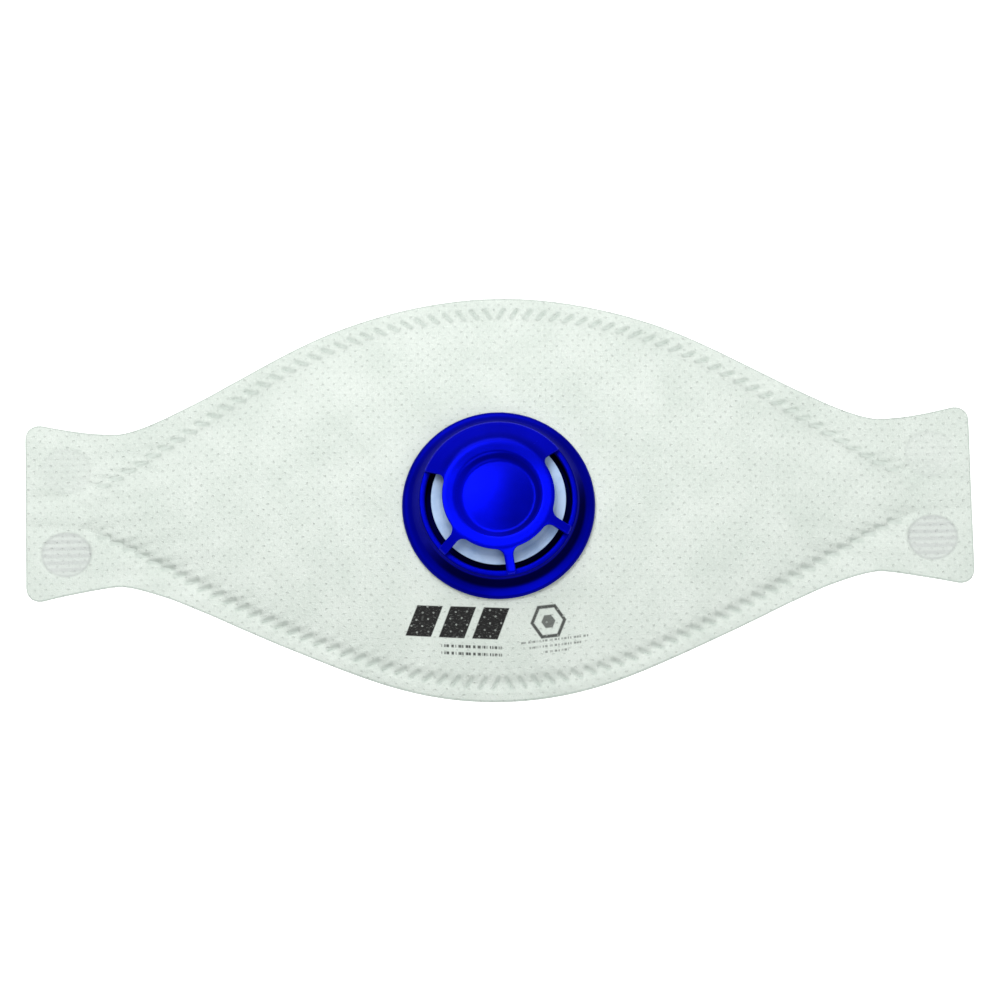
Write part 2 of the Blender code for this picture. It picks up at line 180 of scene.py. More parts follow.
def weld_slant(along):
    """Angle between a weld and the seam: steep at the mask's middle, slight near the ears."""
    steep = 16 * (1 - ramp(along, 0, 26))
    slight = 18 * ramp(along, 72, 16)
    return np.radians(43 + steep - slight)


def weld_local(along, across):
    """Place of a point in its weld's own frame: along the weld, and across it."""
    beside = along - WELD_PITCH * (np.floor(along / WELD_PITCH) + 0.5)
    cos, sin = np.cos(weld_slant(along)), np.sin(weld_slant(along))
    return across * sin - beside * cos, beside * sin + across * cos


def weld_mask(along, across, wider=0.0):
    """1 in a weld and 0 outside, with soft sides."""
    u, v = weld_local(along, across)
    inside = smooth((WELD_LENGTH / 2 + wider - np.abs(u)) / (1.2 * MM) + 0.5)
    inside *= smooth((WELD_WIDTH / 2 + wider - np.abs(v)) / (1.0 * MM) + 0.5)
    return inside * (along < WELD_HALF * WELD_PITCH)


def waves(x, y, longest, shortest, count, seed):
    """A sum of sines in random directions, about 1 high, for gentle unevenness."""
    draw = np.random.default_rng(seed)
    total = np.zeros_like(x)
    for _ in range(count):
        length = draw.uniform(shortest, longest)
        angle, phase = draw.uniform(0, 2 * math.pi, 2)
        across = (x * math.cos(angle) + y * math.sin(angle)) / length
        total += np.sin(2 * math.pi * across + phase)
    return total / math.sqrt(count)


def ear_share(x):
    """0 in the body of the mask and 1 in its ears."""
    return ramp(np.abs(x) - NECK_X, -2, 11)


def face_height(x, y, pressed=True):
    """Height of the front face, with its seams, welds and unevenness where pressed."""
    along, across = seam_place(x, y)
    ax, ay = np.abs(x), np.abs(y)
    low = MARGIN_Z + (EAR_Z - MARGIN_Z) * ear_share(x)
    low += SEAM_RISE * ramp(across, -6, 6) * (1 - ramp(ax, 20, 60))
    around = np.hypot(x - VALVE_X, y - VALVE_Y)
    half = seam(x)
    from_seam = half / 2 * np.clip(1 - (y / half) ** 2, 0, 1)
    from_valve = np.clip(around - FLANGE_R - 0.8 * MM, 0, None)
    from_valve *= 1 - 0.45 * ramp(ax, 0, 70)
    share = from_seam / (from_seam + from_valve + 1e-9)
    puff = (1 - (1 - share) ** FILL_POWER) * (1 - ramp(ax - NECK_X, 0, 17))
    z = low + (FLAT_Z - low) * puff
    if not pressed:
        return z
    weld = weld_mask(along, across)
    lip = weld_mask(along, across, 0.6 * MM) - weld
    spot = spot_mask(x, y)
    free = 1 - spot
    z -= GROOVE_DEPTH * hump(across, -0.3, 1.6) * free
    # The cloth is drawn into puckers on both sides of the seam.
    pucker = 0.15 * hump(across, 1.9, 1.6) + 0.12 * hump(across, -1.9, 1.2)
    phase = 2 * math.pi * (along + across * 0.8) / WELD_PITCH
    z -= pucker * MM * np.cos(phase) * free * (ax < SEAM_END_X)
    z += (LIP_HEIGHT * lip - WELD_DEPTH * weld) * free
    z += 0.16 * MM * waves(x, y, 60 * MM, 18 * MM, 9, 4) * (0.35 + puff)
    z += 0.05 * MM * waves(x, y, 12 * MM, 6 * MM, 12, 9)
    # Lengthwise folds pull from the ears into the cloth.
    pull = ramp(ax, 48, 28) * (1 - ramp(ax, 88, 12))
    folds = np.sin(2 * math.pi * y / (5.4 * MM) + ax / (9 * MM))
    z += 0.14 * MM * pull * folds * hump(across, 0, 14)
    ribs = np.cos(2 * math.pi * (ay - SPOT_Y) / RIB_PITCH)
    deep = np.where(y < 0, 1.0, 0.5)  # the lower round welds are pressed harder
    z -= spot * deep * (SPOT_DEPTH - RIB_HEIGHT * ribs)
    from_rim = np.hypot(ax - SPOT_X, ay - SPOT_Y) - SPOT_R
    z += 0.08 * MM * deep * hump(from_rim, 0.5, 0.5)
    z -= 0.2 * MM * hump(around - FLANGE_R, 0.4, 1.6)
    return np.where(around < FLANGE_R, np.minimum(z, FLAT_Z), z)


def spot_mask(x, y):
    """1 on the round welds at the ears, with soft sides."""
    away = np.hypot(np.abs(x) - SPOT_X, (np.abs(y) - SPOT_Y) * SPOT_SQUASH)
    return smooth((SPOT_R - away) / (0.6 * MM) + 0.5)


# Meshes


def link(obj):
    bpy.context.scene.collection.objects.link(obj)
    return obj


def mesh_object(name, points, faces):
    mesh = bpy.data.meshes.new(name)
    mesh.from_pydata(points, [], faces)
    mesh.update()
    return link(bpy.data.objects.new(name, mesh))


def shade(obj, angle=40):
    obj.data.shade_smooth()
    obj.data.set_sharp_from_angle(angle=math.radians(angle))
    return obj


def give_places(obj, x, y):
    """Stores where each point lay in the flat cloth, for the material, in millimetres."""
    along, across = seam_place(x, y)
    slant = weld_slant(along) * MM
    edge = np.minimum(outline(x) - np.abs(y), HALF_LENGTH - np.abs(x))
    kinds = {"cloth": (x, y, 0 * x), "weld": (along, across, slant), "edge": (edge,) * 3}
    for name, columns in kinds.items():
        made = obj.data.attributes.new(name, "FLOAT_VECTOR", "POINT")
        values = np.stack(columns, -1).astype(np.float32) / MM
        made.data.foreach_set("vector", values.ravel())


def sheet_solid(name, x, y, top, bottom, hole=None):
    """A closed sheet from four grids of the same shape; hole is (x, y, radius) cut through it."""
    rows, columns = x.shape
    index = np.arange(rows * columns).reshape(rows, columns)
    corners = [index[:-1, :-1], index[:-1, 1:], index[1:, 1:], index[1:, :-1]]
    quads = np.stack(corners, -1).reshape(-1, 4)
    px, py = x.ravel().copy(), y.ravel().copy()
    if hole:
        away = np.hypot(px - hole[0], py - hole[1])
        middle = np.hypot(px[quads].mean(1) - hole[0], py[quads].mean(1) - hole[1])
        quads = quads[middle > hole[2]]
        used = np.zeros(len(px), bool)
        used[quads] = True
        near = used & (away < hole[2] * 1.06)
        px[near] = hole[0] + (px[near] - hole[0]) * hole[2] / away[near]
        py[near] = hole[1] + (py[near] - hole[1]) * hole[2] / away[near]
    edges = np.concatenate([quads[:, [i, (i + 1) % 4]] for i in range(4)])
    pairs = np.sort(edges, axis=1)
    _, first, count = np.unique(pairs, axis=0, return_index=True, return_counts=True)
    begin, finish = edges[first[count == 1]].T
    n = len(px)
    sides = np.stack([finish, begin, begin + n, finish + n], -1)
    faces = np.concatenate([quads, quads[:, ::-1] + n, sides])
    used = np.unique(faces)
    new = np.full(2 * n, -1)
    new[used] = np.arange(len(used))
    px, py = np.tile(px, 2), np.tile(py, 2)
    points = np.stack([px, py, np.concatenate([top.ravel(), bottom.ravel()])], -1)[used]
    obj = mesh_object(name, points.tolist(), new[faces].tolist())
    give_places(obj, points[:, 0], points[:, 1])
    return shade(obj, 50)


def rounded(points, radius, steps=5):
    """The corners of a profile as arcs of up to that radius; its two ends stay."""
    result = [points[0]]
    for before, at, after in zip(points, points[1:], points[2:]):
        a, b, c = Vector(before), Vector(at), Vector(after)
        into, out = (a - b), (c - b)
        reach = min(radius, into.length * 0.49, out.length * 0.49)
        start, end = b + into.normalized() * reach, b + out.normalized() * reach
        for i in range(steps + 1):
            t = i / steps
            result.append(tuple(start * (1 - t) ** 2 + b * 2 * t * (1 - t) + end * t**2))
    return result + [points[-1]]


def turned(name, profile, steps=160, closed=True):
    """A turned piece; its profile's outer side runs from top to bottom."""
    points, faces = [], []
    count = len(profile)
    for i in range(steps):
        angle = 2 * math.pi * i / steps
        points += [(r * math.cos(angle), r * math.sin(angle), z) for r, z in profile]
    for i in range(steps):
        a, b = i * count, (i + 1) % steps * count
        for k in range(count if closed else count - 1):
            n = (k + 1) % count
            faces.append((a + k, a + n, b + n, b + k))
    return shade(cleaned(mesh_object(name, points, faces), 1e-6))


def cleaned(obj, merge=0.0):
    """Merges points closer than merge, drops loose ones, and turns every face outward."""
    form = bmesh.new()
    form.from_mesh(obj.data)
    if merge:
        bmesh.ops.remove_doubles(form, verts=form.verts, dist=merge)
    loose = [v for v in form.verts if not v.link_faces]
    bmesh.ops.delete(form, geom=loose, context="VERTS")
    bmesh.ops.recalc_face_normals(form, faces=form.faces)
    form.to_mesh(obj.data)
    form.free()
    return obj


def placed(obj, matrix):
    obj.data.transform(matrix)
    obj.data.update()
    return obj


# Node trees


def arithmetic(operation, flip=False):
    """A method of Wire that adds a Math node; flip puts the wire second in it."""

    def method(self, *others):
        values = (others[0], self) if flip else (self, *others)
        inputs = dict(enumerate(values))
        return self.graph.add("ShaderNodeMath", inputs, operation=operation)

    return method


class Wire:
    """An output in a node tree. Arithmetic on it adds Math nodes."""

    def __init__(self, graph, socket):
        self.graph = graph
        self.socket = socket

    __add__ = __radd__ = arithmetic("ADD")
    __sub__ = arithmetic("SUBTRACT")
    __rsub__ = arithmetic("SUBTRACT", flip=True)
    __mul__ = __rmul__ = arithmetic("MULTIPLY")
    __truediv__ = arithmetic("DIVIDE")
    __pow__ = arithmetic("POWER")
    __abs__ = arithmetic("ABSOLUTE")
    cosine = arithmetic("COSINE")
    sine = arithmetic("SINE")
    most = arithmetic("MAXIMUM")
    wrap_between = arithmetic("WRAP")

    def wrap(self, size):
        """Distance from the nearest whole multiple of size."""
        return self.wrap_between(size / 2, -size / 2)

    def rise(self, low, high):
        """0 below low and 1 above high, with a smooth step between; high may be the lower one."""
        inputs = {"Value": self, "From Min": low, "From Max": high}
        return self.graph.add("ShaderNodeMapRange", inputs, interpolation_type="SMOOTHSTEP")


class Graph:
    """A node tree that is filled by one method."""

    def __init__(self, tree):
        self.tree = tree

    def add(self, kind, inputs=None, output=0, **settings):
        """A new node's output; the settings are set before its inputs are filled or linked."""
        node = self.tree.nodes.new(kind)
        for name, value in settings.items():
            setattr(node, name, value)
        for name, value in (inputs or {}).items():
            if isinstance(value, Wire):
                self.tree.links.new(value.socket, node.inputs[name])
            else:
                node.inputs[name].default_value = value
        return Wire(self, node.outputs[output])

    def split(self, vector):
        node = self.add("ShaderNodeSeparateXYZ", {0: vector}).socket.node
        return [Wire(self, out) for out in node.outputs]

    def join(self, x, y, z=0.0):
        return self.add("ShaderNodeCombineXYZ", {0: x, 1: y, 2: z})


class Finish(Graph):
    """A material with one Principled shader, and the textures that it is made of."""

    def __init__(self, name, roughness, **constants):
        self.material = bpy.data.materials.new(name)
        self.material.use_nodes = True
        super().__init__(self.material.node_tree)
        self.shader = self.tree.nodes["Principled BSDF"]
        self.shader.inputs["Roughness"].default_value = roughness
        for key, value in constants.items():
            self.shader.inputs[key.replace("_", " ")].default_value = value

    def place(self):
        return self.add("ShaderNodeTexCoord", output="Object")

    def stored(self, name):
        return self.add("ShaderNodeAttribute", output="Vector", attribute_name=name)

    def noise(self, vector, scale, detail=2.0, roughness=0.5, distortion=0.0):
        names = ("Vector", "Scale", "Detail", "Roughness", "Distortion")
        values = (vector, scale, detail, roughness, distortion)
        return self.add("ShaderNodeTexNoise", dict(zip(names, values)))

    def mix(self, factor, first, second):
        first, second = ((*c, 1) if isinstance(c, tuple) else c for c in (first, second))
        inputs = {0: factor, 6: first, 7: second}
        return self.add("ShaderNodeMix", inputs, 2, data_type="RGBA")

    def tint(self, cloud, low, high):
        """A colour between two that follows a noise."""
        return self.mix(cloud.rise(0.3, 0.7), low, high)

    def scaled(self, vector, factors):
        return self.add("ShaderNodeVectorMath", {0: vector, 1: factors}, operation="MULTIPLY")

    def feed(self, socket, wire):
        self.tree.links.new(wire.socket, self.shader.inputs[socket])

    def done(self, colour, roughness, height, distance, strength):
        """Feeds the shader; the bump's height is 0 to 1 and distance metres deep."""
        self.feed("Base Color", colour)
        self.feed("Roughness", roughness)
        inputs = {"Height": height, "Distance": distance, "Strength": strength}
        self.feed("Normal", self.add("ShaderNodeBump", inputs))
        return self.material


SIDES_UP_MM = 0.72
EARS_DOWN_MM = 0.97
RIGHT_EXTRA_MM = 0.28  # the right ear lies this much lower than that, the left one higher


def settle(obj):
    """Bends a piece in its plane as the mask lies: sides a little up, ears a little down."""
    places = np.empty(3 * len(obj.data.vertices))
    obj.data.vertices.foreach_get("co", places)
    x = places[0::3]
    sides = SIDES_UP_MM * hump(np.abs(x), 40, 17)
    ears = (EARS_DOWN_MM + RIGHT_EXTRA_MM * np.sign(x)) * ramp(np.abs(x), 60, 36)
    places[1::3] += (sides - ears) * MM
    obj.data.vertices.foreach_set("co", places)
    obj.data.update()


# Materials

# The cloth's bond points: their pitches, and the half width and height of one.
DOT_X_MM = 2.47
DOT_Y_MM = 2.70
DOT_HALF_MM = (0.26, 0.23)
SPOT_RIM_MM = 0.5
# The welds' colour: the fused cloth's own grey, darkened further as painted shade of the weld's
# hollow.
PRESSED_AND_SHADE = (0.33, 0.38, 0.345)


def cloth_finish(name, light, shadow, welded=False, printed=False):
    """Point-bonded white cloth; welded adds the seam's and ears' welds with their painted shade, and
    painted shade along the cut edge; printed adds the marks.
    """
    f = Finish(name, 0.85, Sheen_Weight=0.15, Sheen_Roughness=0.5, Specular_IOR_Level=0.25)
    flat = f.stored("cloth")
    x, y, _ = f.split(flat)
    sway = f.noise(flat, 0.35, 2.0) - 0.5
    dots = None
    for shift in (0.0, 0.5):
        u = (x + sway * 0.8 + DOT_X_MM * shift).wrap(DOT_X_MM) / DOT_HALF_MM[0]
        v = (y + sway * 0.8 + DOT_Y_MM * shift).wrap(DOT_Y_MM) / DOT_HALF_MM[1]
        dot = (u * u + v * v).rise(1.25, 0.35)
        dots = dot if dots is None else dots.most(dot)
    strength = f.noise(flat, 0.22, 3.0).rise(0.25, 0.75)
    dots = dots * (strength * 0.6 + 0.4)
    fibres = f.noise(f.scaled(flat, (1.0, 2.6, 1.0)), 1.6, 6.0, 0.7, 0.6)
    strands = f.noise(f.scaled(flat, (3.2, 0.9, 1.0)), 1.3, 5.0, 0.65, 1.2)
    cloud = f.noise(flat, 0.07, 3.0, 0.55)
    grain = f.noise(flat, 4.0, 3.0, 0.6)
    tone = cloud * 0.35 + fibres * 0.4 + strands * 0.25
    colour = f.mix(tone.rise(0.36, 0.64), shadow, light)
    colour = f.mix(dots * 0.22, colour, tuple(c * 0.62 for c in shadow))
    height = fibres * 0.5 + strands * 0.35 + grain * 0.15 - dots * 0.5
    roughness = 0.9 - dots * 0.2
    if welded:
        pressed, spots, rim_shade = weld_masks(f, x, y)
        grooves = abs((y - SPOT_Y / MM).wrap(RIB_PITCH / MM)).rise(0.2, 0.6)
        film = pressed.most(spots * (grooves * 0.35 + 0.15))
        # Painted shade along the cloth's cut edge.
        cut = f.split(f.stored("edge"))[0].rise(0.45, 0.1)
        # Welds: partly their own grey, partly painted shade of their hollows.
        colour = f.mix(pressed * 0.5, colour, PRESSED_AND_SHADE)
        # The round welds' own grey; the lower ones are drawn darker as painted shade.
        colour = f.mix(spots * (0.6 - grooves * 0.2), colour, (0.42, 0.44, 0.435))
        # Painted shade in a thin ring round each round weld.
        colour = f.mix(rim_shade * 0.22, colour, (0.28, 0.31, 0.29))
        colour = f.mix(cut * 0.55, colour, (0.30, 0.36, 0.32))
        height = height * (1 - film * 0.6) - pressed * 0.15
        roughness = roughness - film * 0.3
    if printed:
        worn = fibres.rise(0.26, 0.46) * 0.45 + 0.55
        ink = print_mask(f, x, y) * worn * (1 - dots * 0.5)
        colour = f.mix(ink, colour, (0.006, 0.006, 0.006))
        roughness = roughness - ink * 0.1
    return f.done(colour, roughness, height, 0.0004, 0.9)


def weld_masks(f, x, y):
    """Masks of the seam's slanted welds, the ears' round welds, and the painted shade round the
    edges of those; the lower round welds are drawn darker.
    """
    pitch = WELD_PITCH / MM
    along, across, slant = f.split(f.stored("weld"))
    cos, sin = slant.cosine(), slant.sine()
    beside = (along + pitch / 2).wrap(pitch)
    u = across * sin - beside * cos
    v = beside * sin + across * cos
    half_length, half_width = WELD_LENGTH / MM / 2, WELD_WIDTH / MM / 2
    u = abs(u).rise(half_length + 0.3, half_length - 0.5)
    v = abs(v).rise(half_width + 0.3, half_width - 0.4)
    pressed = u * v * along.rise(WELD_HALF * pitch, WELD_HALF * pitch - 0.2)
    dx = abs(x) - SPOT_X / MM
    dy = (abs(y) - SPOT_Y / MM) * SPOT_SQUASH
    away = (dx * dx + dy * dy) ** 0.5
    spots = away.rise(SPOT_R / MM + SPOT_RIM_MM / 2, SPOT_R / MM - SPOT_RIM_MM / 2)
    # Painted shade: the round welds below the middle are drawn darker than those above it, as if the
    # light fell from above.
    fainter = 1 - y.rise(-2.0, 2.0) * 0.75  # the upper ones hardly show
    # Painted shade round the edge of each round weld.
    rim_shade = abs(away - SPOT_R / MM + 0.1).rise(0.6, 0.1) * fainter
    return pressed, spots * fainter, rim_shade


MARK_MM = (-9.6, -29.2)
BADGE_MM = (10.3, -29.5)
INK_EDGE_MM = 0.12


def box_mask(x, y, middle_x, middle_y, width, height):
    soft = INK_EDGE_MM
    dx = abs(x - middle_x).rise(width / 2 + soft, width / 2 - soft)
    dy = abs(y - middle_y).rise(height / 2 + soft, height / 2 - soft)
    return dx * dy


def turned_place(x, y, middle, degrees):
    """Place measured from middle, on axes turned by that many degrees."""
    cos, sin = math.cos(math.radians(degrees)), math.sin(math.radians(degrees))
    dx, dy = x - middle[0], y - middle[1]
    return dx * cos + dy * sin, dy * cos - dx * sin


def print_mask(f, x, y):
    """Plain printed marks: slanted bars, a six-sided outline, and rows of short strokes."""
    bx, by = turned_place(x, y, MARK_MM, -4.0)
    lean = bx - by * 0.35
    total = None
    for middle in (-7.3, 0.0, 7.3):
        bar = box_mask(lean, by, middle, 0.0, 5.6, 6.6)
        total = bar if total is None else total.most(bar)
    hx, hy = turned_place(x, y, BADGE_MM, 6.0)
    six = (abs(hx) * 0.866 + abs(hy) * 0.5).most(abs(hy))
    total = total.most(abs(six - 3.1).rise(0.5, 0.2) * 0.9)
    total = total.most(six.rise(1.5, 1.2) * 0.8)
    strokes = f.noise(f.join(x, 0.0), 1.9, 1.0).rise(0.45, 0.53)
    for row in (-5.0, -6.5):
        total = total.most(box_mask(bx, by, 3.4, row, 13.5, 0.6) * strokes * 0.9)
    for row, width in ((-3.9, 15.0), (-5.1, 11.5), (-6.3, 5.5)):
        total = total.most(box_mask(hx, hy, 0.9, row, width, 0.45) * strokes * 0.6)
    return total


def blue_finish():
    """Satin moulded plastic: blue, with painted shade making it near black beside and inside its
    rim, and painted shade deepening the dish's right side and the bridge.
    """
    f = Finish("valve_blue", 0.16, IOR=1.25, Specular_Tint=(0.04, 0.06, 1.0, 1.0))
    place = f.place()
    x, y, z = f.split(place)
    dx, dy = x - VALVE_X, y - VALVE_Y
    radius = (dx * dx + dy * dy) ** 0.5 / MM
    # Painted shade: the conical wall is drawn near black, most on the side away from the lights.
    away_from_light = (dx * 0.42 - dy * 0.91) / (radius * MM)
    painted_wall_shade = radius.rise(17.45, 17.9) * radius.rise(20.0, 18.7) * (away_from_light.rise(-0.2, 0.5) * 0.8 + 0.2)
    rim_top = RIM_TOP / MM
    # Painted shade in the well inside the rim and on the rim's outer side.
    painted_well_shade = (z / MM).rise(rim_top - 0.5, rim_top - 1.6) * radius.rise(16.9, 16.2)
    rim = radius.rise(16.0, 16.3) * (z / MM).rise(rim_top + 0.25, rim_top + 0.1)
    painted_shade = painted_wall_shade.most(painted_well_shade).most(rim * 0.45) * 0.9
    cloud = f.noise(place, 90.0, 3.0)
    grain = f.noise(place, 2600.0, 2.0, 0.6)
    flow = f.noise(f.scaled(place, (1.0, 3.0, 1.0)), 220.0, 4.0, 0.6, 0.8)
    colour = f.tint(cloud, (0.0003, 0.0012, 0.36), (0.0004, 0.0018, 0.47))
    dish = radius.rise(9.6, 8.9)
    # Painted shade over the dish's right side and the bridge, where they turn away from the light.
    bridge = (dy / MM).rise(3.0, 9.0) * radius.rise(15.0, 13.0)
    deep = (dish * (dx / MM).rise(-3.0, 4.0)).most(bridge)
    colour = f.mix(deep * 0.45, colour, (0.0002, 0.0008, 0.06))
    # Painted shade: the wall, the well and the side of the rim are drawn near black, with metallic
    # and roughness raised there too.
    f.feed("Metallic", 0.42 + painted_shade * 0.55)
    colour = f.mix(painted_shade, colour, (0.0, 0.0001, 0.004))
    roughness = 0.18 + flow * 0.10 + grain * 0.04 + painted_shade * 0.4 + dish * 0.07
    return f.done(colour, roughness, grain * 0.4 + flow * 0.6, 0.00003, 0.5)


def silicone_finish():
    """Thin pale silicone with a faint bloom."""
    f = Finish("flap_silicone", 0.4)
    place = f.place()
    cloud = f.noise(place, 240.0, 4.0, 0.6)
    dust = f.noise(place, 1900.0, 3.0, 0.7)
    colour = f.tint(cloud, (0.21, 0.32, 0.51), (0.30, 0.41, 0.59))
    colour = f.mix(dust.rise(0.62, 0.8) * 0.3, colour, (0.6, 0.7, 0.82))
    return f.done(colour, 0.38 + cloud * 0.2, cloud, 0.00005, 0.5)


def ring_finish():
    """Pale moulded plastic, with a fine grain."""
    f = Finish("ring_plastic", 0.5)
    place = f.place()
    cloud = f.noise(place, 120.0, 3.0)
    grain = f.noise(place, 1800.0, 2.0)
    colour = f.tint(cloud, (0.70, 0.72, 0.75), (0.80, 0.82, 0.84))
    return f.done(colour, 0.45 + grain * 0.15, grain, 0.00003, 0.5)


def film_finish():
    """Cloth fused to a thin film by a weld: greyer than the cloth, and darker still as painted shade
    of the weld's hollow.
    """
    f = Finish("fused_film_and_shade", 0.4)
    place = f.place()
    mottle = f.noise(place, 900.0, 4.0, 0.65)
    colour = f.tint(mottle, (0.315, 0.365, 0.33), (0.37, 0.42, 0.38))
    return f.done(colour, 0.35 + mottle * 0.3, mottle, 0.0001, 0.6)


STRAP_RIB_MM = 1.17
COURSE_MM = 0.62


def elastic_finish():
    """Knitted elastic: fine courses across the band, over its lengthwise ribs."""
    f = Finish("strap_elastic", 0.75, Sheen_Weight=0.2)
    flat = f.stored("cloth")
    x, y, _ = f.split(flat)
    from_rib = abs(y.wrap(STRAP_RIB_MM))
    courses = abs((x + from_rib * 0.8).wrap(COURSE_MM)).rise(0.05, 0.28)
    ribs = from_rib.rise(0.1, 0.5)
    fuzz = f.noise(flat, 3.0, 4.0, 0.65)
    colour = f.mix(courses * 0.4 + fuzz * 0.4, (0.42, 0.42, 0.39), (0.57, 0.58, 0.56))
    colour = f.mix(ribs * 0.35, colour, (0.36, 0.355, 0.31))
    return f.done(colour, 0.7 + fuzz * 0.2, courses * 0.6 + fuzz * 0.3 - ribs * 0.5, 0.00018, 0.8)


def metal_finish():
    """Soft aluminium strip, drawn lengthwise."""
    f = Finish("clip_aluminium", 0.35, Metallic=1.0)
    place = f.place()
    drawn = f.noise(f.scaled(place, (0.03, 1.0, 1.0)), 5200.0, 4.0, 0.6)
    cloud = f.noise(place, 70.0, 3.0)
    colour = f.tint(cloud, (0.62, 0.63, 0.65), (0.78, 0.79, 0.81))
    return f.done(colour, 0.25 + drawn * 0.25, drawn, 0.00003, 0.6)


def foam_finish():
    """Open-cell foam, with painted shade in its pores."""
    f = Finish("nose_foam", 0.95)
    place = f.place()
    inputs = {"Vector": place, "Scale": 1500.0}
    cells = f.add("ShaderNodeTexVoronoi", inputs, feature="DISTANCE_TO_EDGE")
    pores_and_shade = cells.rise(0.02, 0.16)
    soft = f.noise(place, 300.0, 3.0)
    # Painted shade: the pores are drawn dark.
    colour = f.mix(pores_and_shade, (0.46, 0.48, 0.51), (0.16, 0.17, 0.19))
    colour = f.mix(soft.rise(0.4, 0.6) * 0.3, colour, (0.50, 0.52, 0.55))
    return f.done(colour, 0.9 + soft * 0.08, pores_and_shade, -0.00025, 0.9)


def floor_finish():
    """A plain white sweep, clear from below so that the back of the mask can be seen too."""
    f = Finish("pale_floor", 0.9, Specular_IOR_Level=0.1, Emission_Strength=0.5)
    f.shader.inputs["Emission Color"].default_value = (1, 1, 1, 1)
    speck = f.noise(f.place(), 60.0, 3.0)
    f.feed("Base Color", f.mix(speck, (0.93, 0.93, 0.93), (0.95, 0.95, 0.95)))
    below = f.add("ShaderNodeNewGeometry", output="Backfacing")
    clear = f.add("ShaderNodeBsdfTransparent")
    solid = Wire(f, f.shader.outputs[0])
    shown = f.add("ShaderNodeMixShader", {0: below, 1: solid, 2: clear})
    f.tree.links.new(shown.socket, f.tree.nodes["Material Output"].inputs["Surface"])
    return f.material


WHITE = (0.605, 0.652, 0.610)
GREY_WHITE = (0.505, 0.562, 0.515)
FRONT_CLOTH = cloth_finish("front_cloth", WHITE, GREY_WHITE, True, True)
PANEL_CLOTH = cloth_finish("panel_cloth", WHITE, GREY_WHITE, True)
LINING_CLOTH = cloth_finish("lining_cloth", (0.62, 0.63, 0.625), (0.54, 0.56, 0.55))
WADDING = cloth_finish("filter_wadding", (0.60, 0.61, 0.62), (0.52, 0.54, 0.56))
BLUE = blue_finish()
SILICONE = silicone_finish()
RING_PLASTIC = ring_finish()
FILM_AND_SHADE = film_finish()
ELASTIC = elastic_finish()
ALUMINIUM = metal_finish()
FOAM = foam_finish()


CLOTH_SLOTS = ("cover_cloth", "filter_cloth", "stiffener_cloth", "lining_cloth")
SOFT_SLOTS = (*CLOTH_SLOTS, "nose_clip", "nose_foam", "elastic")


def finished(obj, body, slot, material, *nodes):
    """Gives a piece its material and its body, bends soft pieces as the mask lies, and hides the CAD
    nodes that it stands for.
    """
    if slot in SOFT_SLOTS:
        settle(obj)
    obj.data.materials.clear()
    obj.data.materials.append(material)
    if body:
        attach(obj, body)
    if nodes:
        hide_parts(*nodes)
    return obj


# Centre panel


def spaced(low, high, step):
    return np.linspace(low, high, max(2, round((high - low) / step) + 1))


def rounded_end(reach, step, corner, steps=9):
    """Places along X from the middle, closer together round the end's corner."""
    straight = spaced(0, reach - corner, step)
    curve = reach - corner + corner * np.sin(np.linspace(0, math.pi / 2, steps + 1))
    half = np.concatenate([straight, curve[1:]])
    return np.concatenate([-half[:0:-1], half])


def half_rows(x):
    """Places across half the mask at x, closest together along the seam, even at the ears."""
    inner, band, margin = 20, 13, 5  # rows inside the seam, along it and outside it
    edge, middle = outline(x), seam(x)
    inside = middle - 3.2 * MM
    outside = np.minimum(middle + 2.2 * MM, edge - 0.4 * MM)
    count = inner + band + margin
    share = np.arange(count + 1)
    even = edge * share / count
    first = inside * np.clip(share / inner, 0, 1)
    second = (outside - inside) * np.clip((share - inner) / band, 0, 1)
    third = (edge - outside) * np.clip((share - inner - band) / margin, 0, 1)
    to_ear = ramp(np.abs(x) - LAYER_REACH, 0, 12)
    return (first + second + third) * (1 - to_ear) + even * to_ear


LAYER_GAP = 0.3 * MM
HOLE = (VALVE_X, VALVE_Y, 14.3 * MM)
STEP = 0.42 * MM  # between the front cloth's columns


def front_cover():
    """The white face: puffed inside its seams, flat outside them, pressed at every weld."""
    xs = rounded_end(HALF_LENGTH, STEP, EAR_CORNER)
    halves = [half_rows(x) for x in xs]
    y = np.array([np.concatenate([-half[:0:-1], half]) for half in halves]).T
    x = np.tile(xs, (y.shape[0], 1))
    top = face_height(x, y)
    obj = sheet_solid("front_cover", x, y, top, top - COVER_T, HOLE)
    finished(obj, "mask_body", "cover_cloth", FRONT_CLOTH, "center_outer_cover")


def centre_layers():
    """Filter, stiffener and lining, stopping inside the seam."""
    layers = (
        ("filter_layer", "center_filter", "filter_cloth", WADDING, 0.6 * MM),
        ("stiffener_layer", "center_stiffener", "stiffener_cloth", WADDING, 0.4 * MM),
        ("lining_layer", "center_inner_cover", "lining_cloth", LINING_CLOTH, 0.3 * MM),
    )
    xs = rounded_end(LAYER_REACH, 2 * MM, 2 * MM, 3)
    edge = seam(xs) - LAYER_INSET
    share = np.linspace(-1, 1, 49)
    x = np.tile(xs, (len(share), 1))
    y = share[:, None] * edge[None, :]
    face = face_height(x, y, pressed=False) - COVER_T
    stack = sum(layer[4] + LAYER_GAP for layer in layers)
    squeeze = np.clip((face - PANEL_STACK_TOP - 0.1 * MM) / stack, 0.12, 1)
    drop = 0.0
    for name, node, slot, material, thickness in layers:
        drop += LAYER_GAP
        top = face - drop * squeeze
        obj = sheet_solid(name, x, y, top, top - thickness * squeeze, HOLE)
        finished(obj, "mask_body", slot, material, node)
        drop += thickness


